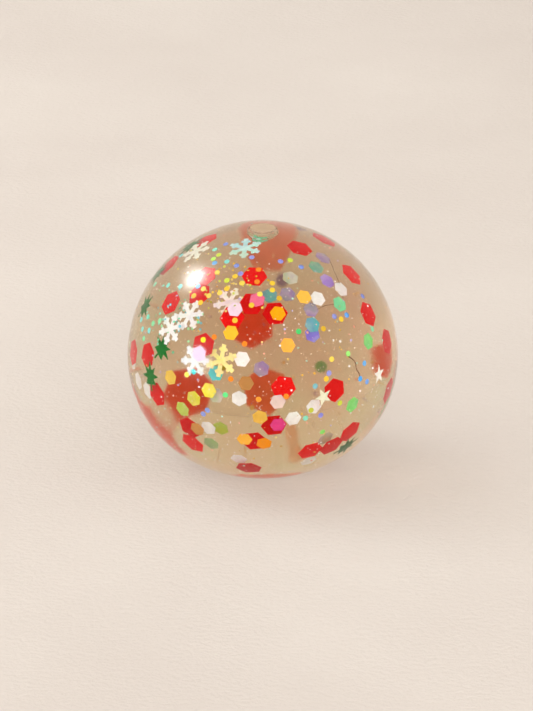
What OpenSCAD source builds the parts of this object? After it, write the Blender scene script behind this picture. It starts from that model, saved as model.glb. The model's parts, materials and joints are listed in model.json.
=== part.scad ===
// Squishy ball: a clear soft skin round a clear gel, with foil confetti held in the gel.
// Millimetres. Origin in the middle of the resting face, Z up, the seen side faces -Y.

/* [Ball] */
// Width of the resting ball at its widest
ball_w = 65; // [60:1:80]
// How far the ball settles under its own weight
sag = 5; // [3.5:0.5:7]
// Diameter of the flat that the ball rests on
foot_d = 20; // [12:1:26]
// Thickness of the clear skin
skin_t = 1.2; // [1:0.1:2]
// Room between the skin and the gel
gel_gap = 0.05; // [0.02:0.01:0.1]

/* [Filling plug] */
// Diameter of the plug's head, flush in the crown
head_d = 6; // [5:0.25:7]
// Depth of the head at its rim
head_t = 0.6; // [0.4:0.1:0.8]
// Diameter of the plug's stem
stem_d = 3.6; // [3:0.1:4]
// Diameter of the bead that holds the stem behind the collar
bead_d = 4.8; // [4.4:0.1:5.5]
// Height of the bead
bead_h = 0.6; // [0.4:0.1:1]
// Diameter of the collar inside the skin, round the stem
collar_d = 6.4; // [6:0.2:7]
// How far the collar reaches in from the skin
collar_h = 1; // [0.6:0.1:1.4]
// Room round the plug in its seat
plug_gap = 0.05; // [0.02:0.01:0.1]

/* [Confetti sizes] */
// Thickness of the foil
foil_t = 0.1; // [0.06:0.01:0.12]
// Red hexagons, flat to flat
red_flat = 5; // [4:0.25:5.5]
// Small hexagons, flat to flat
hex_flat = 3.2; // [2.4:0.1:3.6]
// Snowflakes, tip to tip
flake_d = 7.4; // [6:0.2:8]
// Width of a snowflake's arms
arm_w = 1; // [0.7:0.1:1.2]
// Length of the barbs on an arm
barb_l = 1.1; // [0.8:0.1:1.3]
// Width of the barbs
barb_w = 0.7; // [0.5:0.1:0.8]
// Leaves, middle to the longest tip
leaf_l = 3.4; // [2.6:0.1:3.6]
// Stars, middle to tip
star_r = 2.2; // [1.6:0.1:2.6]
// Diameter of the small dots
dot_d = 1.3; // [1:0.1:1.6]

/* [Confetti places] */
// Depth of the first layer of confetti below the skin
first_layer = 0.3; // [0.2:0.05:0.6]
// Step in depth from one layer to the next
layer_step = 0.25; // [0.22:0.01:0.3]
// Room round each piece of foil in the gel
pocket_gap = 0.02; // [0.01:0.005:0.03]

/* [Hidden] */

// Curves are true circles; a hexagon asks for its own six sides
$fn = 96;
hexagon_sides = 6;

// The upper half is a sphere, and the lower half an arc that bulges out to the foot
ball_r = ball_w / 2;
foot_r = foot_d / 2;
equator_z = ball_r - sag;
bulge = (ball_r * ball_r - foot_r * foot_r - equator_z * equator_z) / (2 * (ball_r - foot_r));
crown_z = equator_z + ball_r;
gel_inset = skin_t + gel_gap;

// The plug's seat: the head's underside, then the end of the collar
head_r = head_d / 2;
head_z = equator_z + sqrt(ball_r * ball_r - head_r * head_r) - head_t;
collar_z = crown_z - skin_t - collar_h;
bead_z = collar_z - plug_gap - bead_h;
collar_root = 0.4;

// View that the seen places are read from, and how strongly the clear filling bends it
view_rise = 20;
clear_index = 1.4;
view_right = [1, 0, 0];
view_up = [0, sin(view_rise), cos(view_rise)];
view_near = [0, -cos(view_rise), sin(view_rise)];
lower_share = 1 - bulge / ball_r * (1 - sin(view_rise));

// Hidden places follow a spiral; it keeps off the seen side and the foot, and its larger pieces
// keep off the part of the far side that shows through the gel
golden_turn = 137.508;
kind_turn = 23;
hidden_limit = -0.25;
through_limit = -0.9;
spiral_bottom = -70;

// Layer of each kind, counted in steps from the skin; wide pieces curve off further and take more
gold_dot_layer = 0;
orange_dot_layer = 1;
blue_dot_layer = 2;
mint_dot_layer = 3;
lime_dot_layer = 4;
orange_layer = 5;
pink_layer = 6;
magenta_layer = 7;
star_layer = 8;
white_flake_layer = 9;
flake_stagger = 2;
leaf_layer = 12.5;
red_layer = 15.5;
stagger = 1.5;
pearl_flake_layer = 19;
white_layer = 20;
lime_layer = 21;
mint_layer = 22;
aqua_layer = 23;
lilac_layer = 24;
silver_layer = 25;

// Seen places: [right, up, turn], the first two in percent of the ball's half width
red_spots = [
    [27, 78, 55], [45, 85, 30], [65, 59, 20], [77, 30, 25], [91, 10, 30], [-6, 57, 0],
    [-8, 37, 3], [-22, 27, 10], [15, -23, 50], [9, 30, 0], [52, -25, 34], [8, -52, 5],
    [-6, -64, 10], [-42, 57, 15], [-46, 44, 5], [-67, 38, 40], [-42, 84, 20], [-69, 66, 30],
    [-43, 7, 30], [-84, 0, 30], [-95, 2, 30], [-77, -30, 20], [-52, -55, 30], [33, -72, 10],
    [48, -69, 20], [62, -59, 40], [92, -29, 20], [-49, -67, 0], [-9, -84, 10]
];
far_red_spots = [[-55, -42, 0], [2, -42, 20], [4, 84, 0], [-9, 16, 30]];
white_spots = [
    [40, 41, 28], [57, 48, 40], [-15, -3, 58], [-17, -31, 30], [22, -47, 5], [37, -38, 50],
    [-39, -55, 10], [-16, -78, 0], [30, -80, 10], [-84, -28, 40], [-91, -21, 30], [-95, -5, 20]
];
orange_spots = [
    [30, 42, 40], [18, 7, 53], [11, 30, 48], [-23, 16, 0], [-67, -16, 20], [-13, -62, 0],
    [1, -65, 20], [-2, -45, 40], [-47, -55, 10], [-12, -20, 0]
];
lime_spots = [[-39, -25, 0], [-50, -32, 20], [-58, -41, 10], [-30, -55, 30], [-36, -67, 10]];
lilac_spots = [[18, 44, 0], [35, 33, 38], [47, 54, 0], [36, 15, 30], [-1, -10, 20], [44, 71, 0]];
aqua_spots = [[36, 22, 58], [5, 43, 25], [-2, 85, 0], [39, 64, 15], [-34, -13, 10]];
mint_spots = [[56, 37, 57], [65, -38, 25], [77, 10, 0]];
pink_spots = [[-20, 33, 0], [-46, 1, 30], [11, -33, 5]];
magenta_spots = [[-4, 40, 20], [11, -51, 2]];
silver_spots = [[-34, -29, 5], [44, -64, 30], [20, 56, 0]];
white_flake_spots = [[-49, 76, 0], [-53, 29, 20], [-67, 19, 30], [-49, -4, 10]];
pearl_flake_spots = [[-13, 78, 10], [-30, -4, 25], [-24, 38, 20]];
leaf_spots = [[-86, 36, 70], [-73, 5, 55], [-82, -15, 100], [-53, 80, 40], [-77, 60, 60], [58, -70, 30]];
star_spots = [[85, -14, 15], [44, -30, 40]];
gold_dot_spots = [
    [-33, 60], [-20, 57], [-15, 52], [-31, 45], [-26, 48], [-43, 48], [-39, 43], [-50, 43], [-45, 38],
    [-8, 36], [-20, 25], [7, 52], [7, 47], [12, 41], [-2, 44], [44, 19], [57, 26], [50, -3], [46, -17],
    [-55, -14], [-43, 11]
];
orange_dot_spots = [[-3, 62], [-4, 53], [-35, 13], [-23, -17], [-13, 8], [17, -29], [-3, -31]];
blue_dot_spots = [
    [-27, 81], [-35, 67], [-19, 65], [-8, 71], [-16, 59], [-47, 50], [13, 68], [28, 64], [52, 28],
    [61, 29], [73, 43], [48, -13], [71, -17], [76, -19], [74, -6], [42, -44], [-43, -43], [-40, -40]
];
mint_dot_spots = [
    [-26, 68], [-35, 77], [-60, 73], [-79, 52], [-69, 51], [-60, 50], [-84, 28], [-80, 23], [-75, 25],
    [-83, 18], [-88, 19], [-87, 12], [-89, 26], [-50, -12], [-27, -28], [38, -22], [31, -46], [80, 19]
];
lime_dot_spots = [
    [-36, 70], [-32, 73], [-26, 54], [62, 1], [56, -35], [43, -57], [35, -40], [20, 69], [26, 17]
];

// Places on the spiral for each kind; about two in five of them lie on the hidden side
red_places = 36;
small_places = 16;
few_places = 9;
dot_places = 30;

// Depth of a layer below the ball's outer face
function depth(layer) = skin_t + first_layer + layer * layer_step;

// Angle from the view's own line to a layer, along a ray that enters at share b of the half width
function near_angle(b, layer) =
    asin(b) - asin(b / clear_index) + asin(b / clear_index / (1 - depth(layer) / ball_r));
function far_angle(b, layer) =
    180 + asin(b) - asin(b / clear_index) - asin(b / clear_index / (1 - depth(layer) / ball_r));

// Seen place in shares, with the lower half stretched to a full circle, most at its lowest edge
function full_circle(spot) =
    let (s = spot / 100, low = max(0, -s.y) / lower_share)
    [s.x, s.y * (1 + (1 / lower_share - 1) * low)];

// Direction of a place as [azimuth, elevation], from its angle off the view's line
function direction(angle, roll) =
    let (across = cos(roll) * view_right + sin(roll) * view_up)
    let (d = sin(angle) * across + cos(angle) * view_near)
    [atan2(d.y, d.x), asin(d.z)];
function seen(spot, layer, far) =
    let (s = full_circle(spot), b = norm(s))
    direction(far ? far_angle(b, layer) : near_angle(b, layer), atan2(s.y, s.x));

// Direction of place i of n on the spiral, and whether it is on the hidden side
function on_spiral(i, n, start) = [i * golden_turn + start, asin(1 - (2 * i + 1) / n)];
function unit(dir) = [cos(dir[0]) * cos(dir[1]), sin(dir[0]) * cos(dir[1]), sin(dir[1])];
function hidden(dir, layer) =
    let (near = unit(dir) * view_near)
    near < hidden_limit && dir[1] > spiral_bottom && (near > through_limit || layer < orange_layer);

// Half of the ball's section, drawn in by inset
module half_section(inset) {
    arc_r = ball_r - bulge - inset;
    intersection() {
        circle(ball_r - inset);
        square(ball_r);
    }
    intersection() {
        union() {
            translate([bulge, 0]) circle(arc_r);
            translate([0, -arc_r]) square([bulge, arc_r]);
        }
        translate([0, inset - equator_z]) square([ball_r, equator_z - inset]);
    }
}

module ball_solid(inset) {
    translate([0, 0, equator_z]) rotate_extrude() half_section(inset);
}

module disc(d, from, to) {
    translate([0, 0, from]) cylinder(d = d, h = to - from);
}

// Sets its children flat on a layer, facing out, with their x axis turned up from the view's right
module on_layer(dir, layer, turn) {
    below = dir[1] < 0 ? bulge : 0;
    translate([0, 0, equator_z])
        rotate([0, 0, dir[0]])
            translate([below, 0, 0])
                rotate([0, 90 - dir[1], 0])
                    translate([0, 0, ball_r - below - depth(layer)])
                        rotate([0, 0, 90 + turn])
                            children();
}

// Sets its children at seen places, every other one deeper by step_in
module at_spots(spots, layer, step_in = 0, far = false) {
    for (i = [0:len(spots) - 1]) {
        own_layer = layer + (i % 2) * step_in;
        turn = len(spots[i]) > 2 ? spots[i][2] : 0;
        on_layer(seen(spots[i], own_layer, far), own_layer, turn) children();
    }
}

// Sets its children at the spiral's hidden places
module at_hidden(places, layer) {
    for (i = [0:places - 1]) {
        dir = on_spiral(i, places, layer * kind_turn);
        if (hidden(dir, layer)) on_layer(dir, layer, i * kind_turn) children();
    }
}

module foil(grow) {
    linear_extrude(foil_t + 2 * grow, center = true) children();
}

module hexagon(flat, grow) {
    foil(grow) circle(r = (flat / 2 + grow) / cos(180 / hexagon_sides), $fn = hexagon_sides);
}

module small_hexagons(spots, places, layer, grow) {
    at_spots(spots, layer) hexagon(hex_flat, grow);
    at_hidden(places, layer) hexagon(hex_flat, grow);
}

module dots(spots, layer, grow) {
    at_spots(spots, layer) foil(grow) circle(d = dot_d + 2 * grow);
    at_hidden(dot_places, layer) foil(grow) circle(d = dot_d + 2 * grow);
}

// Point at a radius and an angle
function polar(r, a) = r * [cos(a), sin(a)];

// One snowflake: six arms, each with a pair of barbs short of its tip
module snowflake(grow) {
    arms = 6;
    arm_turn = 360 / arms;
    arm_l = flake_d / 2;
    barb_share = 0.58;
    foil(grow)
        for (i = [1:arms])
            rotate(i * arm_turn) {
                translate([0, -arm_w / 2 - grow]) square([arm_l + grow, arm_w + 2 * grow]);
                for (side = [-1, 1])
                    translate([arm_l * barb_share, 0])
                        rotate(side * arm_turn)
                            translate([0, -barb_w / 2 - grow])
                                square([barb_l + grow, barb_w + 2 * grow]);
            }
}

// One leaf: pointed lobes with deep notches between them, and a stem
module leaf(grow) {
    lobes = [0.8, 1, 0.85, 1, 0.85, 1, 0.8];
    lobe_turn = 45;
    notch = 0.42;
    stem_w = 0.5;
    last = len(lobes) - 1;
    start = -lobe_turn * last / 2;
    outline = [
        for (i = [0:last])
            each [
                polar(lobes[i] * leaf_l + grow, start + i * lobe_turn),
                if (i < last) polar(notch * leaf_l + grow, start + (i + 0.5) * lobe_turn)
            ]
    ];
    foil(grow) {
        polygon(outline);
        translate([-leaf_l - grow, -stem_w / 2 - grow]) square([leaf_l, stem_w + 2 * grow]);
    }
}

// One star: long and short points by turns
module star(grow) {
    points = 5;
    waist = 0.42;
    half_turn = 180 / points;
    foil(grow)
        polygon([
            for (i = [1:points])
                each [
                    polar(star_r + grow, 2 * i * half_turn),
                    polar(star_r * waist + grow, (2 * i + 1) * half_turn)
                ]
        ]);
}

// Shell with a seat for the plug at the crown, and a collar inside it
module skin() {
    color("#f2e6d8", 0.3)
        difference() {
            union() {
                difference() {
                    ball_solid(0);
                    ball_solid(skin_t);
                }
                disc(collar_d, collar_z, crown_z - skin_t + collar_root);
            }
            disc(head_d + 2 * plug_gap, head_z - plug_gap, crown_z + skin_t);
            disc(stem_d + 2 * plug_gap, collar_z - skin_t, crown_z);
        }
}

// Plug with its head flush with the skin and a bead behind the collar
module fill_plug() {
    color("#efe3d6", 0.5) {
        intersection() {
            ball_solid(0);
            disc(head_d, head_z, crown_z + skin_t);
        }
        disc(stem_d, bead_z, head_z + head_t / 2);
        disc(bead_d, bead_z, bead_z + bead_h);
    }
}

// Gel that fills the skin, with room for the collar, the bead and every piece of foil
module gel_fill() {
    color("#d8b48c", 0.3)
        difference() {
            ball_solid(gel_inset);
            disc(collar_d + 2 * gel_gap, collar_z - gel_gap, crown_z);
            disc(bead_d + 2 * plug_gap, bead_z - plug_gap, collar_z);
            red_hexagons(pocket_gap);
            white_hexagons(pocket_gap);
            orange_hexagons(pocket_gap);
            lime_hexagons(pocket_gap);
            lilac_hexagons(pocket_gap);
            aqua_hexagons(pocket_gap);
            mint_hexagons(pocket_gap);
            pink_hexagons(pocket_gap);
            magenta_hexagons(pocket_gap);
            silver_hexagons(pocket_gap);
            white_snowflakes(pocket_gap);
            pearl_snowflakes(pocket_gap);
            green_leaves(pocket_gap);
            pale_stars(pocket_gap);
            gold_dots(pocket_gap);
            orange_dots(pocket_gap);
            blue_dots(pocket_gap);
            mint_dots(pocket_gap);
            lime_dots(pocket_gap);
        }
}

module red_hexagons(grow = 0) {
    color("#d8160f") {
        at_spots(red_spots, red_layer, stagger) hexagon(red_flat, grow);
        at_spots(far_red_spots, red_layer + stagger, far = true) hexagon(red_flat, grow);
        at_hidden(red_places, red_layer) hexagon(red_flat, grow);
    }
}

module white_hexagons(grow = 0) {
    color("#f7f2ec") small_hexagons(white_spots, small_places, white_layer, grow);
}

module orange_hexagons(grow = 0) {
    color("#f7a521") small_hexagons(orange_spots, small_places, orange_layer, grow);
}

module lime_hexagons(grow = 0) {
    color("#cfd63a") small_hexagons(lime_spots, few_places, lime_layer, grow);
}

module lilac_hexagons(grow = 0) {
    color("#9a86c8") small_hexagons(lilac_spots, few_places, lilac_layer, grow);
}

module aqua_hexagons(grow = 0) {
    color("#5fb3b8") small_hexagons(aqua_spots, few_places, aqua_layer, grow);
}

module mint_hexagons(grow = 0) {
    color("#7be08f") small_hexagons(mint_spots, few_places, mint_layer, grow);
}

module pink_hexagons(grow = 0) {
    color("#efcfdc") small_hexagons(pink_spots, few_places, pink_layer, grow);
}

module magenta_hexagons(grow = 0) {
    color("#cf3c74") small_hexagons(magenta_spots, few_places, magenta_layer, grow);
}

module silver_hexagons(grow = 0) {
    color("#cfc8bd") small_hexagons(silver_spots, few_places, silver_layer, grow);
}

module white_snowflakes(grow = 0) {
    color("#fbfaf6") {
        at_spots(white_flake_spots, white_flake_layer, flake_stagger) snowflake(grow);
        at_hidden(few_places, white_flake_layer) snowflake(grow);
    }
}

module pearl_snowflakes(grow = 0) {
    color("#e6efe0") {
        at_spots(pearl_flake_spots, pearl_flake_layer) snowflake(grow);
        at_hidden(few_places, pearl_flake_layer) snowflake(grow);
    }
}

module green_leaves(grow = 0) {
    color("#14702c") {
        at_spots(leaf_spots, leaf_layer, stagger) leaf(grow);
        at_hidden(few_places, leaf_layer) leaf(grow);
    }
}

module pale_stars(grow = 0) {
    color("#eef0dc") {
        at_spots(star_spots, star_layer) star(grow);
        at_hidden(few_places, star_layer) star(grow);
    }
}

module gold_dots(grow = 0) {
    color("#d9b13c") dots(gold_dot_spots, gold_dot_layer, grow);
}

module orange_dots(grow = 0) {
    color("#ef9440") dots(orange_dot_spots, orange_dot_layer, grow);
}

module blue_dots(grow = 0) {
    color("#7f8fc9") dots(blue_dot_spots, blue_dot_layer, grow);
}

module mint_dots(grow = 0) {
    color("#79d6b8") dots(mint_dot_spots, mint_dot_layer, grow);
}

module lime_dots(grow = 0) {
    color("#a9d95a") dots(lime_dot_spots, lime_dot_layer, grow);
}

skin();
fill_plug();
gel_fill();
red_hexagons();
white_hexagons();
orange_hexagons();
lime_hexagons();
lilac_hexagons();
aqua_hexagons();
mint_hexagons();
pink_hexagons();
magenta_hexagons();
silver_hexagons();
white_snowflakes();
pearl_snowflakes();
green_leaves();
pale_stars();
gold_dots();
orange_dots();
blue_dots();
mint_dots();
lime_dots();
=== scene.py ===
"""Looks of the squishy ball: a clear soft ball of gel with foil confetti in it, on a pale floor."""

import json
import math
import random

import bmesh
import bpy
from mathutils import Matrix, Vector


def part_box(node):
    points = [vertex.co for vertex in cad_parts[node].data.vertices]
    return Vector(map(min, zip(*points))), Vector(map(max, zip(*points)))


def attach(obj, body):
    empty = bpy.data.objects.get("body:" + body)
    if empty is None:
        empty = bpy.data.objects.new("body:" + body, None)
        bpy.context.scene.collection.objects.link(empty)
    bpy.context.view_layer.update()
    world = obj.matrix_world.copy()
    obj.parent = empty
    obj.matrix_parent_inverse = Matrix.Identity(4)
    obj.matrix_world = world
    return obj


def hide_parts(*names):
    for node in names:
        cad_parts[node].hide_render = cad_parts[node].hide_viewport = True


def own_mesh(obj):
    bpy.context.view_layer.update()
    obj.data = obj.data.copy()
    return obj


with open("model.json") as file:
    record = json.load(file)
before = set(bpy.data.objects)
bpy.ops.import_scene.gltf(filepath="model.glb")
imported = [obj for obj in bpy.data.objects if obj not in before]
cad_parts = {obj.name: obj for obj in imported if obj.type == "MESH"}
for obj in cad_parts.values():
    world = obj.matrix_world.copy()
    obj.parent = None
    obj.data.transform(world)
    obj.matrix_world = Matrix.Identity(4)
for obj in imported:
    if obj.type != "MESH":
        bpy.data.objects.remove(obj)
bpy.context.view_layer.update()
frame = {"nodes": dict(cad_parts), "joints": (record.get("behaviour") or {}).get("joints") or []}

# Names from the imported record
BALL = "ball"
SQUEEZE = "squeeze"
JOINT = next(j for j in frame["joints"] if j["name"] == SQUEEZE)

# Sizes read from the frame, in metres
MM = 0.001
SKIN_LOW, SKIN_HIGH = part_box("skin")
PLUG_LOW, PLUG_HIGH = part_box("fill_plug")
GEL_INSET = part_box("gel_fill")[0].z
RADIUS = (SKIN_HIGH.x - SKIN_LOW.x) / 2
TOP = PLUG_HIGH.z
EQUATOR = TOP - RADIUS
CENTRE = Vector((0, 0, EQUATOR))
DROP = JOINT["range_m"][1]
KEEP = 1 - DROP / TOP
HEAD_R = (PLUG_HIGH.x - PLUG_LOW.x) / 2

# The photograph: its size and the ball's width and middle in pixels, and how it was viewed
IMAGE_W = 533
IMAGE_H = 711
BALL_PX = 270.5
BALL_CENTRE_PX = (262.75, 347.5)
VIEW_RISE = math.radians(20)
VIEW_DISTANCE = 1.2
TO_CAMERA = Vector((0, -math.cos(VIEW_RISE), math.sin(VIEW_RISE)))
PICTURE_UP = Vector((0, math.sin(VIEW_RISE), math.cos(VIEW_RISE)))
OUTLINE_LIFT = 1.8 * MM  # how far the middle of the seen outline lies above the ball's centre
SENSOR = 36.0
NEAR_CLIP = 0.01

# How finely the ball is turned; rings are shares of the way along a straight stretch of its outline
TURN_STEPS = 160
LOWER_STEPS = 48
UPPER_STEPS = 56
FOOT_RINGS = (0.3, 0.6, 0.85, 0.97)
WALL_RINGS = (0.04, 0.5, 0.96, 1.0)
INNER_RING = 0.3
EDGE_ANGLE = 0.08  # a narrow last ring, in degrees, keeps smooth shading clean at the seat's sharp edge

# Room round the plug: the skin's seat, and the gel's wider well that tapers below it
SEAT_GAP = 0.06 * MM
NECK_WALL = 0.6 * MM
NECK_ROOM = 0.4 * MM
TIP_TAPER = 0.8 * MM

# Reading the frame's meshes: points on the floor, on the head's rim and off the axis, and rounding
FLOOR_REACH = 0.01 * MM
RIM_SHARE = 0.98
AXIS_SHARE = 0.2
DIGITS = 5

# Glitter in the gel: how many specks, where they gather, how far they spread, radii, colours
SEED = 7
GLITTER_DEPTH = (1.6 * MM, 8.6 * MM)
SPECK_T = 0.04 * MM
SPECK_SIDES = 6
SPECK_LEAN = 0.4
SEEN_REACH = 0.95
FOOT_LIMIT = -0.9
CROWN_LIMIT = 0.93
PALE = ["#fff6e0", "#ffffff", "#f6ead0", "#e9dcc8"]
MIXED = ["#f2dc8c", "#e9c15a", "#bfe6d2", "#c9c0ee", "#f4b8a4", "#ffffff"]
GOLD = ["#f0d95c", "#dfb83c", "#f6e98a", "#c9d85a"]
MINT = ["#7fe6bd", "#93ecd6", "#86cfe0", "#a6ecb4"]
CLOUDS = [
    (2600, None, 0.0, (0.06 * MM, 0.15 * MM), PALE),
    (420, None, 0.0, (0.12 * MM, 0.3 * MM), MIXED),
    (90, (-0.28, 0.52), 0.16, (0.16 * MM, 0.38 * MM), GOLD),
    (60, (-0.78, 0.34), 0.14, (0.2 * MM, 0.42 * MM), MINT),
    (30, (0.55, 0.05), 0.2, (0.15 * MM, 0.35 * MM), MIXED),
]

# A dark curly fibre and two fine hairs: radius, and points as shares of the half width
FIBRE_DEPTH = 3 * MM
FIBRES = [
    (0.13 * MM, [
        (0.66, -0.01), (0.69, -0.03), (0.715, -0.06),
        (0.72, -0.1), (0.735, -0.13), (0.75, -0.165),
    ]),
    (0.07 * MM, [(0.51, 0.73), (0.55, 0.64), (0.59, 0.55)]),
    (0.06 * MM, [(0.42, 0.35), (0.48, 0.38), (0.55, 0.39)]),
]

# Confetti: colours, roughness, how much it hides (a film less than 1), share of changing colours
KINDS = {
    "red_hexagons": (["#e60402", "#dc0301", "#ea0803"], 0.4, 1.0, 0.0),
    "white_hexagons": (["#fbfdff", "#f8fbff"], 0.4, 1.0, 0.0),
    "orange_hexagons": (["#f9b23c", "#f6a51f", "#e8b24a"], 0.35, 1.0, 0.0),
    "lime_hexagons": (["#e8dc3a", "#c6cc3c", "#b3c244"], 0.35, 1.0, 0.08),
    "lilac_hexagons": (["#a98fc4", "#a183b4", "#9a86d8"], 0.3, 0.7, 0.2),
    "aqua_hexagons": (["#6fc0b6", "#7fc89c", "#57c3cf"], 0.3, 0.8, 0.2),
    "mint_hexagons": (["#86f57f", "#80f2a8"], 0.35, 1.0, 0.1),
    "pink_hexagons": (["#f8dce8", "#f3dcf0"], 0.35, 1.0, 0.05),
    "magenta_hexagons": (["#d83a7c", "#e0688c"], 0.35, 1.0, 0.0),
    "silver_hexagons": (["#d9d0c6", "#cfc9bd"], 0.3, 0.7, 0.25),
    "white_snowflakes": (["#f6f7f6", "#f3f4f3"], 0.4, 1.0, 0.06),
    "pearl_snowflakes": (["#d9f4f2", "#f7f1ea"], 0.3, 1.0, 0.22),
    "green_leaves": (["#00661a", "#007422"], 0.4, 1.0, 0.0),
    "pale_stars": (["#fbf8ef", "#f0f2dc"], 0.4, 1.0, 0.0),
    "gold_dots": (["#f0c83c", "#f2d65a", "#e0b434"], 0.3, 1.0, 0.0),
    "orange_dots": (["#fb9c34", "#f58d26"], 0.3, 1.0, 0.0),
    "blue_dots": (["#7d90dc", "#8f8ee0", "#5fa9f0"], 0.3, 1.0, 0.1),
    "mint_dots": (["#7fe3c0", "#76dcd4", "#86e6a4"], 0.3, 1.0, 0.1),
    "lime_dots": (["#b8ec5c", "#cbe04a", "#98ec74"], 0.3, 1.0, 0.0),
}
SHADES = (0.9, 1.06)
WELD = 0.001 * MM
FLAT_ANGLE = math.radians(0.5)

# Pieces on the seen side with a colour of their own: (right, up) in shares of the half width
ACCENTS = {
    "orange_hexagons": [
        (0.30, 0.41, "#ffbf4a"), (0.18, 0.06, "#ffb848"), (0.11, 0.29, "#ffa800"), (-0.23, 0.15, "#ffc230"),
        (-0.67, -0.17, "#e6bf52"), (-0.13, -0.63, "#f8b840"), (0.01, -0.66, "#f09010"),
        (-0.48, -0.56, "#c98a4a"), (-0.12, -0.21, "#b98246"),
    ],
    "lime_hexagons": [
        (-0.39, -0.25, "#fdf03a"), (-0.50, -0.33, "#e4e24c"), (-0.58, -0.41, "#c4d858"),
        (-0.30, -0.56, "#cfd470"), (-0.37, -0.68, "#9fbb80"),
    ],
    "lilac_hexagons": [(0.36, 0.14, "#7f70f6"), (0.47, 0.54, "#b78af8")],
    "aqua_hexagons": [(0.36, 0.21, "#55bccb"), (-0.34, -0.13, "#2ceeee"), (-0.03, 0.84, "#66d8b0")],
    "pink_hexagons": [(-0.46, 0.0, "#e8c4f0"), (0.11, -0.33, "#e8c4c0")],
    "magenta_hexagons": [(-0.04, 0.39, "#ec7094"), (0.11, -0.52, "#dc3a80")],
    "pearl_snowflakes": [(-0.13, 0.77, "#c4f8fc"), (-0.30, -0.06, "#fff67c"), (-0.25, 0.36, "#fbf4ec")],
    "white_snowflakes": [(-0.49, -0.05, "#e6e9f0"), (-0.49, 0.75, "#efe8da")],
    "pale_stars": [(0.85, -0.15, "#fffdf6"), (0.44, -0.31, "#eaf2d4")],
    "mint_dots": [(-0.50, -0.13, "#14e4ee"), (-0.27, -0.28, "#54e884"), (0.38, -0.22, "#6cb8be")],
    "lime_dots": [(0.26, 0.17, "#4cd070"), (0.62, 0.01, "#a4f480"), (0.35, -0.40, "#c4cc44")],
    "gold_dots": [(-0.43, 0.11, "#fff01c"), (-0.55, -0.14, "#f6ee5c")],
    "blue_dots": [(0.71, -0.17, "#3cacff"), (0.76, -0.19, "#6aa0f4")],
}

# Painted light on the far side, seen through the gel: red pieces are painted a lighter red, and a few
# pieces paler still, standing in for the light and haze that reach them through the ball
FAR_PAINTED_LIGHT_TINTS = {"red_hexagons": "#ff6a44"}
FAR_PAINTED_LIGHT_ACCENTS = {
    "red_hexagons": [(0.01, -0.13, "#ff8a64"), (0.02, 0.37, "#f4aca4"), (0.13, -0.35, "#f6c8a8")],
    "orange_dots": [(0.09, -0.22, "#fbf2e6")],
}
SEEN_SIDE = 1
FAR_SIDE = -1

# The studio: floor in metres, the world's cove, and lamps as directions from the ball's centre
FLOOR_SIZE = 1.4
FLOOR_GAP = 0.02 * MM
COVE_DIM = (0.5, 0.475, 0.45, 1.0)
COVE_BRIGHT = (0.86, 0.78, 0.69, 1.0)
COVE_RISE = 0.5
WINDOW = Vector((-0.66, 0.34, 0.67))
SIDE = Vector((-0.82, -0.56, 0.12))
RIGHT = Vector((0.8, -0.5, 0.35))
FRONT = Vector((0.05, -0.9, 0.42))
DAYLIGHT = "#fffdf8"
WARM_LIGHT = "#fffaf4"


# Colours and node helpers

def srgb(text):
    """Linear colour of a #rrggbb value."""
    parts = [int(text[i:i + 2], 16) / 255 for i in (1, 3, 5)]
    return tuple(c / 12.92 if c <= 0.04045 else ((c + 0.055) / 1.055) ** 2.4 for c in parts)


def rgba(text):
    return (*srgb(text), 1.0)


def grey(value):
    return (value, value, value, 1.0)


def new_material(name):
    material = bpy.data.materials.new(name)
    material.use_nodes = True
    tree = material.node_tree
    return material, tree, tree.nodes["Principled BSDF"]


def add(tree, kind, **values):
    node = tree.nodes.new(kind)
    for key, value in values.items():
        setattr(node, key, value)
    return node


def noise(tree, scale, detail=3.0, roughness=0.5):
    """Noise in object space, in cycles per metre."""
    place = add(tree, "ShaderNodeTexCoord")
    node = add(tree, "ShaderNodeTexNoise")
    node.inputs["Scale"].default_value = scale
    node.inputs["Detail"].default_value = detail
    node.inputs["Roughness"].default_value = roughness
    tree.links.new(place.outputs["Object"], node.inputs["Vector"])
    return node.outputs["Fac"]


def ramp(tree, source, low, high, start=0.35, end=0.65):
    """Colour ramp from low to high over a factor."""
    node = add(tree, "ShaderNodeValToRGB")
    node.color_ramp.elements[0].position = start
    node.color_ramp.elements[1].position = end
    node.color_ramp.elements[0].color = low
    node.color_ramp.elements[1].color = high
    tree.links.new(source, node.inputs["Fac"])
    return node


def vary(tree, source, target, low, high):
    """Lets a factor carry a shader's socket from low to high."""
    node = ramp(tree, source, low, high)
    tree.links.new(node.outputs["Color"], target)


def bump(tree, source, shader, strength, distance):
    node = add(tree, "ShaderNodeBump")
    node.inputs["Strength"].default_value = strength
    node.inputs["Distance"].default_value = distance
    tree.links.new(source, node.inputs["Height"])
    tree.links.new(node.outputs["Normal"], shader.inputs["Normal"])


# Materials

CLEAR_TINTS = ("#fffaf4", "#ffffff")


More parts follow.
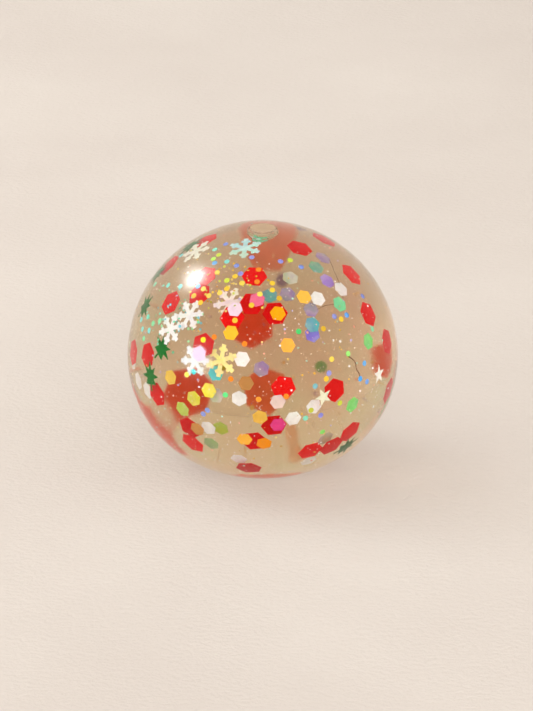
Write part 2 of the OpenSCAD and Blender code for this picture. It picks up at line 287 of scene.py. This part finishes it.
def clear_material(name, index, rough, waviness, tints=CLEAR_TINTS, through="#ffffff", veil=0.0):
    """Clear soft plastic or gel. Lamps and soft light pass it unbent; veil is the share it scatters."""
    material, tree, shader = new_material(name)
    shader.inputs["Transmission Weight"].default_value = 1.0 - veil
    shader.inputs["IOR"].default_value = index
    cloud = noise(tree, scale=60, detail=3)
    vary(tree, cloud, shader.inputs["Base Color"], rgba(tints[0]), rgba(tints[1]))
    smudge = noise(tree, scale=90, detail=4)
    vary(tree, smudge, shader.inputs["Roughness"], grey(0.8 * rough), grey(1.2 * rough))
    waves = noise(tree, scale=55, detail=2)
    bump(tree, waves, shader, strength=waviness, distance=0.4 * MM)
    path = add(tree, "ShaderNodeLightPath")
    clear = add(tree, "ShaderNodeBsdfTransparent")
    clear.inputs["Color"].default_value = rgba(through)
    surface = shader.outputs["BSDF"]
    for ray in ("Is Shadow Ray", "Is Diffuse Ray"):
        mix = add(tree, "ShaderNodeMixShader")
        tree.links.new(path.outputs[ray], mix.inputs["Fac"])
        tree.links.new(surface, mix.inputs[1])
        tree.links.new(clear.outputs["BSDF"], mix.inputs[2])
        surface = mix.outputs["Shader"]
    tree.links.new(surface, tree.nodes["Material Output"].inputs["Surface"])
    return material


def absorbing(material, colour, density):
    """Light that goes a long way through the material takes its colour."""
    tree = material.node_tree
    volume = add(tree, "ShaderNodeVolumeAbsorption")
    volume.inputs["Color"].default_value = rgba(colour)
    volume.inputs["Density"].default_value = density
    tree.links.new(volume.outputs["Volume"], tree.nodes["Material Output"].inputs["Volume"])
    return material


def glossy(material, mirror, coat, coat_rough):
    """How strongly the face mirrors, and a soft shine on top of it."""
    shader = material.node_tree.nodes["Principled BSDF"]
    shader.inputs["Specular Tint"].default_value = grey(mirror)
    shader.inputs["Coat Weight"].default_value = coat
    shader.inputs["Coat Roughness"].default_value = coat_rough
    return material


def skin_material():
    """Clear skin with a soft shine."""
    clear = clear_material("clear_skin", index=1.34, rough=0.03, waviness=0.03, through="#f4f8ff")
    return glossy(clear, mirror=0.2, coat=0.2, coat_rough=0.25)


def gel_material():
    """Clear gel with a tan tint that deepens with the way through it."""
    tints = ("#fff0f4", "#f4fff4")
    clear = clear_material("clear_gel", index=1.05, rough=0.22, waviness=0.03, tints=tints)
    return absorbing(clear, colour="#e9d1ab", density=32.0)


def plug_material():
    """Cloudy tan plug."""
    tints = ("#b99d80", "#c8ae90")
    clear = clear_material("clear_plug", index=1.34, rough=0.5, waviness=0.03, tints=tints, veil=0.7)
    return glossy(clear, mirror=0.2, coat=0.0, coat_rough=0.25)


def foil_material(name, roughness, cover=1.0, pearl=0.0):
    """Foil in each piece's own colour, with fine grain; pearl is its share of changing colours."""
    material, tree, shader = new_material(name)
    tint = add(tree, "ShaderNodeAttribute", attribute_name="tint")
    mottle = noise(tree, scale=900, detail=5, roughness=0.6)
    shade = ramp(tree, mottle, grey(0.85), grey(1.0), start=0.3, end=0.7)
    blend = add(tree, "ShaderNodeMix", data_type="RGBA", blend_type="MULTIPLY")
    blend.inputs["Factor"].default_value = 1.0
    tree.links.new(tint.outputs["Color"], blend.inputs["A"])
    tree.links.new(shade.outputs["Color"], blend.inputs["B"])
    colour = blend
    if pearl:
        drift = noise(tree, scale=260, detail=1)
        bands = ramp(tree, drift, rgba("#8fe9ea"), rgba("#f5e88a"), start=0.3, end=0.7)
        for place, band in ((0.42, "#b9a4f2"), (0.5, "#ffffff"), (0.6, "#a9f0b4")):
            bands.color_ramp.elements.new(place).color = rgba(band)
        colour = add(tree, "ShaderNodeMix", data_type="RGBA")
        colour.inputs["Factor"].default_value = pearl
        tree.links.new(blend.outputs["Result"], colour.inputs["A"])
        tree.links.new(bands.outputs["Color"], colour.inputs["B"])
    tree.links.new(colour.outputs["Result"], shader.inputs["Base Color"])
    grain = noise(tree, scale=4000, detail=2)
    vary(tree, grain, shader.inputs["Roughness"], grey(0.75 * roughness), grey(1.3 * roughness))
    shader.inputs["Specular IOR Level"].default_value = 0.05
    shader.inputs["Alpha"].default_value = cover
    bump(tree, grain, shader, strength=0.15, distance=0.02 * MM)
    return material


def seam_material():
    """Milky seam of the plug's seat."""
    material, tree, shader = new_material("milky_seam")
    cloud = noise(tree, scale=500, detail=3)
    vary(tree, cloud, shader.inputs["Base Color"], rgba("#ab8e70"), rgba("#b89c7e"))
    shader.inputs["Roughness"].default_value = 0.6
    shader.inputs["Specular IOR Level"].default_value = 0.1
    return material


def fibre_material():
    """Dark brown fibre."""
    material, tree, shader = new_material("dark_fibre")
    streak = noise(tree, scale=1500, detail=3)
    vary(tree, streak, shader.inputs["Base Color"], rgba("#4a3324"), rgba("#7a5a40"))
    shader.inputs["Roughness"].default_value = 0.6
    return material


def floor_material():
    """Matt cream floor with a fine grain."""
    material, tree, shader = new_material("floor_cream")
    cloud = noise(tree, scale=9, detail=3)
    vary(tree, cloud, shader.inputs["Base Color"], rgba("#d4cdc8"), rgba("#dad4cf"))
    shader.inputs["Roughness"].default_value = 0.9
    shader.inputs["Specular IOR Level"].default_value = 0.1
    fine = noise(tree, scale=700, detail=4)
    bump(tree, fine, shader, strength=0.3, distance=1.0 * MM)
    return material


# Mesh helpers

def link(name, mesh, material):
    piece = bpy.data.objects.new(name, mesh)
    piece.data.materials.append(material)
    bpy.context.scene.collection.objects.link(piece)
    return piece


def link_body(name, body, material):
    """Object from a bmesh, which it frees."""
    mesh = bpy.data.meshes.new(name)
    body.to_mesh(mesh)
    body.free()
    return link(name, mesh, material)


def lathe(name, profile, material):
    """Closed solid turned round Z from (radius, height) points; the first and last lie on the axis."""
    body = bmesh.new()
    turns = [2 * math.pi * i / TURN_STEPS for i in range(TURN_STEPS)]
    bottom = body.verts.new((0, 0, profile[0][1]))
    top = body.verts.new((0, 0, profile[-1][1]))
    rings = [
        [body.verts.new((r * math.cos(t), r * math.sin(t), z)) for t in turns]
        for r, z in profile[1:-1]
    ]
    for i in range(TURN_STEPS):
        j = (i + 1) % TURN_STEPS
        body.faces.new((bottom, rings[0][j], rings[0][i]))
        for low, high in zip(rings, rings[1:]):
            body.faces.new((low[i], low[j], high[j], high[i]))
        body.faces.new((top, rings[-1][i], rings[-1][j]))
    for face in body.faces:
        face.smooth = True
    return link_body(name, body, material)


def arc(centre, radius, start, end, steps):
    """Points on an arc, angles in degrees from the outward radius."""
    angles = [math.radians(start + (end - start) * i / steps) for i in range(steps + 1)]
    return [(centre[0] + radius * math.cos(a), centre[1] + radius * math.sin(a)) for a in angles]


def soft(piece, *nodes):
    """A piece of the soft ball: it rides on the ball and flattens as the crown is pressed."""
    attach(piece, BALL)
    if nodes:
        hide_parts(*nodes)
    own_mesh(piece)


# The ball

def foot_radius():
    """Radius of the flat, from the skin's lowest points."""
    low = [v.co for v in frame["nodes"]["skin"].data.vertices if v.co.z < FLOOR_REACH]
    return max(math.hypot(p.x, p.y) for p in low)


def head_bottom():
    """Height of the plug head's underside, from its outermost points."""
    points = [v.co for v in frame["nodes"]["fill_plug"].data.vertices]
    return min(p.z for p in points if math.hypot(p.x, p.y) > RIM_SHARE * HEAD_R)


def plug_steps():
    """The plug's own outline: (radius, height) of each of its edges, from the stem out to the head."""
    points = {
        (round(math.hypot(v.co.x, v.co.y), DIGITS), round(v.co.z, DIGITS))
        for v in frame["nodes"]["fill_plug"].data.vertices
    }
    return sorted(p for p in points if p[0] > AXIS_SHARE * HEAD_R)


def pressed_room(height):
    """Resting height of the soft ball that meets the plug's height once the crown is pressed right down."""
    return (height - DROP) / KEEP


FOOT_R = foot_radius()
BULGE = (RADIUS ** 2 - FOOT_R ** 2 - EQUATOR ** 2) / (2 * (RADIUS - FOOT_R))
HEAD_Z = head_bottom()
NECK_R = HEAD_R + NECK_WALL
NECK_Z = PLUG_LOW.z - NECK_ROOM
TIP_R = NECK_R - TIP_TAPER
TIP_Z = pressed_room(PLUG_LOW.z) - NECK_ROOM


def section(inset, neck_r):
    """Outline of the resting ball, drawn in by inset: flat foot, bulging lower half, round upper half."""
    lower_r = RADIUS - BULGE - inset
    upper_r = RADIUS - inset
    foot_angle = -math.degrees(math.asin((EQUATOR - inset) / lower_r))
    neck_angle = math.degrees(math.acos(neck_r / upper_r))
    edge = BULGE + lower_r * math.cos(math.radians(foot_angle))
    points = [(0, inset)]
    points += [(edge * s, inset) for s in FOOT_RINGS]
    points += arc((BULGE, EQUATOR), lower_r, foot_angle, 0, LOWER_STEPS)
    points += arc((0, EQUATOR), upper_r, 0, neck_angle - EDGE_ANGLE, UPPER_STEPS)[1:]
    points += arc((0, EQUATOR), upper_r, neck_angle - EDGE_ANGLE, neck_angle, 1)[1:]
    return points


def well(points, rings):
    """Carries an outline down from its top edge through rings of (radius, height) to the axis."""
    for r, z in rings:
        last_r, last_z = points[-1]
        points += [(last_r + (r - last_r) * s, last_z + (z - last_z) * s) for s in WALL_RINGS]
    points.append((0, rings[-1][1]))
    return points


def skin_profile():
    """The ball with a seat for the plug: head, stem and bead, with room below as the ball is pressed."""
    radii = sorted({r for r, z in plug_steps()})
    stem_r, bead_r = radii[0], radii[1]
    bead_top = max(z for r, z in plug_steps() if r == bead_r)
    seat_r = HEAD_R + SEAT_GAP
    bore_r = stem_r + SEAT_GAP
    seat = HEAD_Z - SEAT_GAP
    floor = pressed_room(PLUG_LOW.z) - SEAT_GAP
    rings = [
        (seat_r, seat),
        (bore_r, seat),
        (bore_r, bead_top + SEAT_GAP),
        (bead_r + SEAT_GAP, bead_top + SEAT_GAP),
        (bead_r + SEAT_GAP, floor),
        (INNER_RING * bore_r, floor),
    ]
    return well(section(0, seat_r), rings)


def gel_profile():
    """The gel, just inside the skin, with room for the skin's neck and for the plug as it is pressed."""
    rings = [(NECK_R, NECK_Z), (TIP_R, TIP_Z), (INNER_RING * TIP_R, TIP_Z)]
    return well(section(GEL_INSET, NECK_R), rings)


def make_seam(piece):
    """Gives the walls of the plug's seat their own milky material."""
    piece.data.materials.append(seam_material())
    for face in piece.data.polygons:
        x, y, z = face.center
        if z > EQUATOR and math.hypot(x, y) < HEAD_R + SEAT_GAP:
            face.material_index = 1


def make_skin():
    skin = lathe("ball_skin", skin_profile(), skin_material())
    make_seam(skin)
    soft(skin, "skin")


def make_gel():
    gel = lathe("gel_body", gel_profile(), gel_material())
    soft(gel, "gel_fill")


def dress_plug():
    """The plug keeps its own mesh and gets a material."""
    look = plug_material()
    for holder in frame["nodes"]["fill_plug"].material_slots:
        holder.material = look


# Confetti

def islands(body):
    """Separate pieces of a mesh, as lists of faces, in the order of their first face."""
    found = []
    seen = set()
    for face in body.faces:
        if face in seen:
            continue
        group = [face]
        seen.add(face)
        for item in group:
            for edge in item.edges:
                for other in edge.link_faces:
                    if other not in seen:
                        seen.add(other)
                        group.append(other)
        found.append(group)
    return found


def offset(group):
    """From the ball's centre to the mean place of a piece's corners."""
    corners = dict.fromkeys(v for face in group for v in face.verts)
    return sum((v.co for v in corners), Vector()) / len(corners) - CENTRE


def toward_camera(group):
    """How far a piece lies in front of the ball's centre, as the camera sees it."""
    return offset(group).dot(TO_CAMERA)


def accented(groups, wanted, side):
    """Which pieces of the seen or the far side have a colour of their own, which on the far side is painted
    light: {index: colour}.
    """
    spots = []
    for i, group in enumerate(groups):
        if side * toward_camera(group) > 0:
            place = offset(group)
            spots.append((i, place.x / RADIUS, place.dot(PICTURE_UP) / RADIUS))
    found = {}
    for right, up, colour in wanted:
        nearest = min(spots, key=lambda spot: math.hypot(spot[1] - right, spot[2] - up))
        found[nearest[0]] = colour
    return found


def make_confetti(node, colours, roughness, cover, pearl):
    """Copy of a node's foil pieces, each with its own tint."""
    dice = random.Random(node)
    body = bmesh.new()
    body.from_mesh(frame["nodes"][node].data)
    bmesh.ops.remove_doubles(body, verts=body.verts, dist=WELD)
    bmesh.ops.dissolve_limit(body, angle_limit=FLAT_ANGLE, verts=body.verts, edges=body.edges)
    layer = body.loops.layers.float_color.new("tint")
    groups = islands(body)
    own = accented(groups, ACCENTS.get(node, []), SEEN_SIDE)
    # Far-side pieces listed by place get painted light: a lighter, paler colour for the light and haze that
    # reach them through the ball
    far = accented(groups, FAR_PAINTED_LIGHT_ACCENTS.get(node, []), FAR_SIDE)
    for i, group in enumerate(groups):
        base = own.get(i) or dice.choice(colours)
        # Painted light: far-side pieces of these kinds take a lighter painted colour than the rest of their
        # kind
        if node in FAR_PAINTED_LIGHT_TINTS and toward_camera(group) < 0:
            base = FAR_PAINTED_LIGHT_TINTS[node]
        base = far.get(i, base)
        shade = 1.0 if i in own else dice.uniform(*SHADES)
        tint = (*[min(1.0, c * shade) for c in srgb(base)], 1.0)
        for face in group:
            for loop in face.loops:
                loop[layer] = tint
    piece = link_body(node + "_foil", body, foil_material(node, roughness, cover, pearl))
    soft(piece, node)


# Fine things in the gel

def below(out, depth):
    """Point at a depth under the outer face, in direction out from the ball's centre."""
    ring = Vector((out.x, out.y, 0)).normalized() * BULGE if out.z < 0 else Vector()
    reach = RADIUS - depth - (BULGE if out.z < 0 else 0)
    return CENTRE + ring + out * reach


def seen_direction(right, up):
    """Outward direction of the face that shows at (right, up), in shares of the half width."""
    near = math.sqrt(max(0.0, 1 - right * right - up * up))
    return Vector((right, 0, 0)) + PICTURE_UP * up + TO_CAMERA * near


def speck_direction(dice, gather, spread):
    """Random outward direction, all round the ball or near a seen place, off the crown and the foot."""
    while True:
        if gather:
            right, up = dice.gauss(gather[0], spread), dice.gauss(gather[1], spread)
            if math.hypot(right, up) > SEEN_REACH:
                continue
            out = seen_direction(right, up)
        else:
            out = Vector((dice.gauss(0, 1), dice.gauss(0, 1), dice.gauss(0, 1))).normalized()
        if FOOT_LIMIT < out.z < CROWN_LIMIT:
            return out


def make_glitter():
    """Specks of glitter, as thin hexagons turned every way."""
    dice = random.Random(SEED)
    sides = SPECK_SIDES
    corners = [(math.cos(a), math.sin(a)) for a in (2 * math.pi * k / sides for k in range(sides))]
    faces_of_one = [tuple(reversed(range(sides))), tuple(range(sides, 2 * sides))]
    faces_of_one += [(k, (k + 1) % sides, (k + 1) % sides + sides, k + sides) for k in range(sides)]
    verts, faces, tints = [], [], []
    for count, gather, spread, radii, colours in CLOUDS:
        for _ in range(count):
            out = speck_direction(dice, gather, spread)
            place = below(out, dice.uniform(*GLITTER_DEPTH))
            size = dice.uniform(*radii)
            lean = Vector((dice.gauss(0, SPECK_LEAN), dice.gauss(0, SPECK_LEAN), dice.gauss(0, SPECK_LEAN)))
            turn = (out + lean).to_track_quat("Z", "Y")
            first = len(verts)
            for z in (-SPECK_T / 2, SPECK_T / 2):
                verts += [place + turn @ Vector((size * x, size * y, z)) for x, y in corners]
            faces += [[first + k for k in face] for face in faces_of_one]
            colour = rgba(dice.choice(colours))
            tints += [colour for face in faces_of_one for k in face]
    mesh = bpy.data.meshes.new("glitter_specks")
    mesh.from_pydata(verts, [], faces)
    layer = mesh.color_attributes.new("tint", "FLOAT_COLOR", "CORNER")
    layer.data.foreach_set("color", [c for colour in tints for c in colour])
    soft(link("glitter_specks", mesh, foil_material("glitter", roughness=0.25)))


def tube(body, points, radius, sides=8):
    """Round closed tube along points."""
    rings = []
    for i, p in enumerate(points):
        along = points[min(i + 1, len(points) - 1)] - points[max(i - 1, 0)]
        turn = along.to_track_quat("Z", "Y").to_matrix()
        rings.append([
            body.verts.new(p + turn @ Vector((radius * math.cos(a), radius * math.sin(a), 0)))
            for a in (2 * math.pi * k / sides for k in range(sides))
        ])
    for low, high in zip(rings, rings[1:]):
        for k in range(sides):
            j = (k + 1) % sides
            body.faces.new((low[k], low[j], high[j], high[k]))
    body.faces.new(rings[0][::-1])
    body.faces.new(rings[-1])


def smooth_path(control, steps=6):
    """Points of a smooth curve through the control points."""
    path = []
    for i in range(len(control) - 1):
        before = control[max(i - 1, 0)]
        after = control[min(i + 2, len(control) - 1)]
        a, b = control[i], control[i + 1]
        for k in range(steps):
            t = k / steps
            path.append(0.5 * (
                2 * a + (b - before) * t + (2 * before - 5 * a + 4 * b - after) * t ** 2
                + (3 * a - before - 3 * b + after) * t ** 3
            ))
    return path + [control[-1]]


def make_fibres():
    """A dark curly fibre and fine hairs held in the gel."""
    body = bmesh.new()
    for radius, points in FIBRES:
        control = [below(seen_direction(right, up), FIBRE_DEPTH) for right, up in points]
        tube(body, smooth_path(control), radius)
    soft(link_body("gel_fibres", body, fibre_material()))


# The studio

def aim(item, place, target):
    item.location = place
    item.rotation_euler = (Vector(target) - Vector(place)).to_track_quat("-Z", "Y").to_euler()


def set_lamp(name, data, place, target, gleam=False):
    """Sets a lamp; a gleam only shows as a shine on glossy faces, and the others light without one."""
    lamp = bpy.data.objects.new(name, data)
    aim(lamp, place, target)
    lamp.visible_transmission = False
    lamp.visible_diffuse = not gleam
    lamp.visible_glossy = gleam
    bpy.context.scene.collection.objects.link(lamp)


def area_light(name, direction, distance, size, power, colour, gleam=False):
    """Soft round lamp aimed at the ball."""
    data = bpy.data.lights.new(name, "AREA")
    data.shape = "DISK"
    data.size = size
    data.energy = power
    data.color = srgb(colour)
    set_lamp(name, data, CENTRE + distance * direction, CENTRE, gleam)


def sun_light(name, direction, strength, spread, colour):
    """Broad even light over the whole floor."""
    data = bpy.data.lights.new(name, "SUN")
    data.energy = strength
    data.angle = math.radians(spread)
    data.color = srgb(colour)
    set_lamp(name, data, direction, (0, 0, 0))


def make_floor():
    bpy.ops.mesh.primitive_plane_add(size=FLOOR_SIZE, location=(0, 0, -FLOOR_GAP))
    floor = bpy.context.object
    floor.name = "floor"
    floor.data.materials.append(floor_material())


def make_world():
    """Bright cove behind the ball, darker on the camera's side; all round it runs up out of the floor."""
    world = bpy.data.worlds.new("studio")
    world.use_nodes = True
    tree = world.node_tree
    place = add(tree, "ShaderNodeTexCoord")
    axes = add(tree, "ShaderNodeSeparateXYZ")
    span = add(tree, "ShaderNodeMapRange")
    span.inputs["From Min"].default_value = -1.0
    tree.links.new(place.outputs["Generated"], axes.inputs["Vector"])
    tree.links.new(axes.outputs["Y"], span.inputs["Value"])
    cove = ramp(tree, span.outputs["Result"], COVE_DIM, COVE_BRIGHT, start=0.3, end=0.75)
    rise = add(tree, "ShaderNodeMapRange", interpolation_type="SMOOTHSTEP")
    rise.inputs["From Max"].default_value = COVE_RISE
    tree.links.new(axes.outputs["Z"], rise.inputs["Value"])
    sweep = add(tree, "ShaderNodeMix", data_type="RGBA")
    sweep.inputs["A"].default_value = COVE_BRIGHT
    tree.links.new(rise.outputs["Result"], sweep.inputs["Factor"])
    tree.links.new(cove.outputs["Color"], sweep.inputs["B"])
    tree.links.new(sweep.outputs["Result"], tree.nodes["Background"].inputs["Color"])
    bpy.context.scene.world = world


def make_lights():
    """Window and side light from the left, each with its gleam, and soft light from front and right."""
    area_light("window", WINDOW, distance=0.8, size=0.6, power=1.9, colour=DAYLIGHT)
    area_light("window_gleam", WINDOW, distance=0.8, size=0.14, power=18.0, colour=DAYLIGHT, gleam=True)
    area_light("side", SIDE, distance=1.6, size=1.2, power=8.5, colour=WARM_LIGHT)
    area_light("side_gleam", SIDE, distance=0.9, size=0.4, power=7.0, colour=WARM_LIGHT, gleam=True)
    sun_light("front", FRONT, strength=1.66, spread=45, colour=WARM_LIGHT)
    area_light("right", RIGHT, distance=1.0, size=0.8, power=3.2, colour=WARM_LIGHT)


def make_camera():
    """Camera that shows the ball at its photographed place and width."""
    data = bpy.data.cameras.new("camera")
    width_at_ball = 2 * RADIUS * IMAGE_W / BALL_PX
    data.sensor_fit = "HORIZONTAL"
    data.sensor_width = SENSOR
    data.lens = SENSOR * VIEW_DISTANCE / width_at_ball
    data.clip_start = NEAR_CLIP
    camera = bpy.data.objects.new("camera", data)
    pixel = width_at_ball / IMAGE_W
    right = (IMAGE_W / 2 - BALL_CENTRE_PX[0]) * pixel
    down = (IMAGE_H / 2 - BALL_CENTRE_PX[1]) * pixel
    outline_middle = CENTRE + PICTURE_UP * OUTLINE_LIFT
    target = outline_middle + Vector((right, 0, 0)) - PICTURE_UP * down
    aim(camera, target + TO_CAMERA * VIEW_DISTANCE, target)
    bpy.context.scene.collection.objects.link(camera)
    bpy.context.scene.camera = camera


# Build

bpy.context.scene.view_settings.view_transform = "Standard"

make_skin()
make_gel()
dress_plug()
for kind, finish in KINDS.items():
    make_confetti(kind, *finish)
make_glitter()
make_fibres()
make_floor()
make_world()
make_lights()
make_camera()
